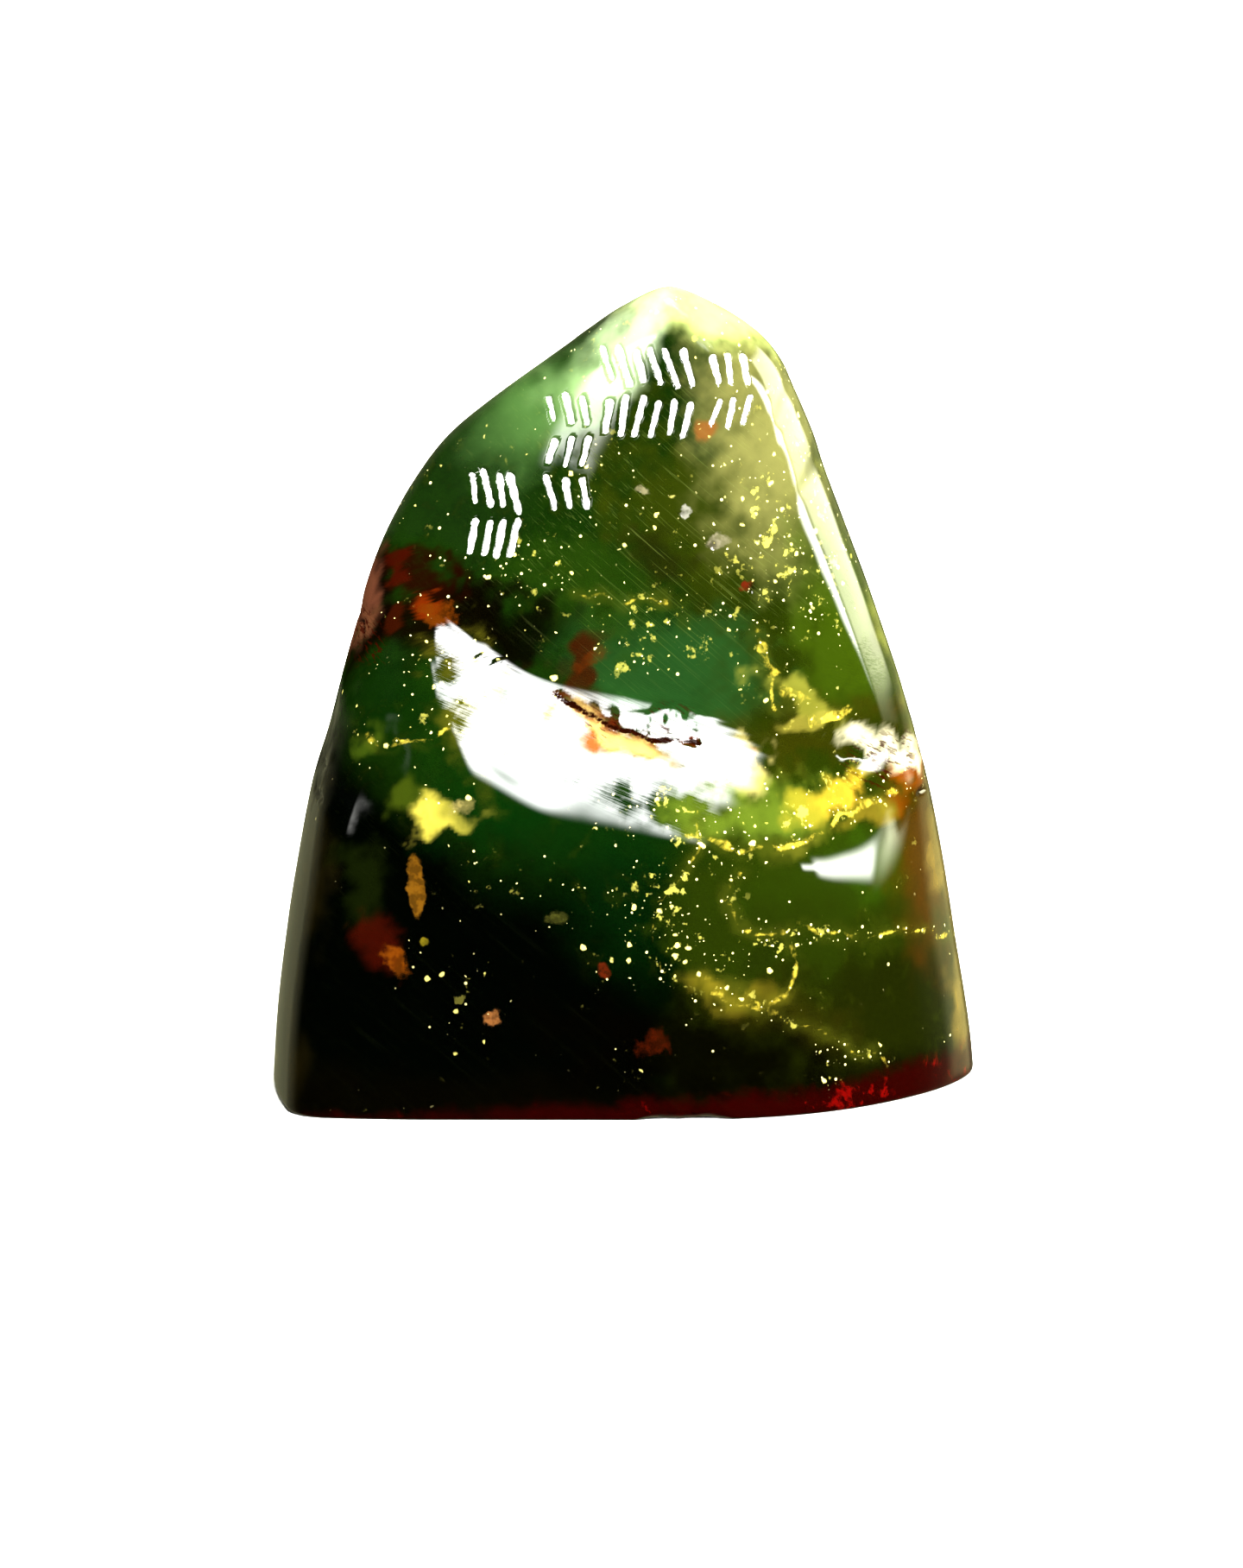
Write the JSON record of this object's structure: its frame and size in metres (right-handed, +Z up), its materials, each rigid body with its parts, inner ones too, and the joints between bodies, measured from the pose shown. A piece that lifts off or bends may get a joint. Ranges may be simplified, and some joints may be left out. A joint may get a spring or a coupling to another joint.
{
  "type": "seal stone",
  "caption": "Free-form polished green seal stone: a ledge across its front, a set-back inscribed face above it and a rounded off-centre peak, standing on its flat seal face.",
  "frame": {"origin": "middle of the flat underside, on which the stone stands", "axes": "+Z up, from the seal face to the peak; the inscribed front looks towards -Y; +X is to the right of that front, seen from before it"},
  "size_m": [0.04, 0.022, 0.046],
  "materials": {
    "green_stone": "polished"
  },
  "bodies": {
    "root": {"seal_stone": "green_stone"}
  },
  "joints": []
}
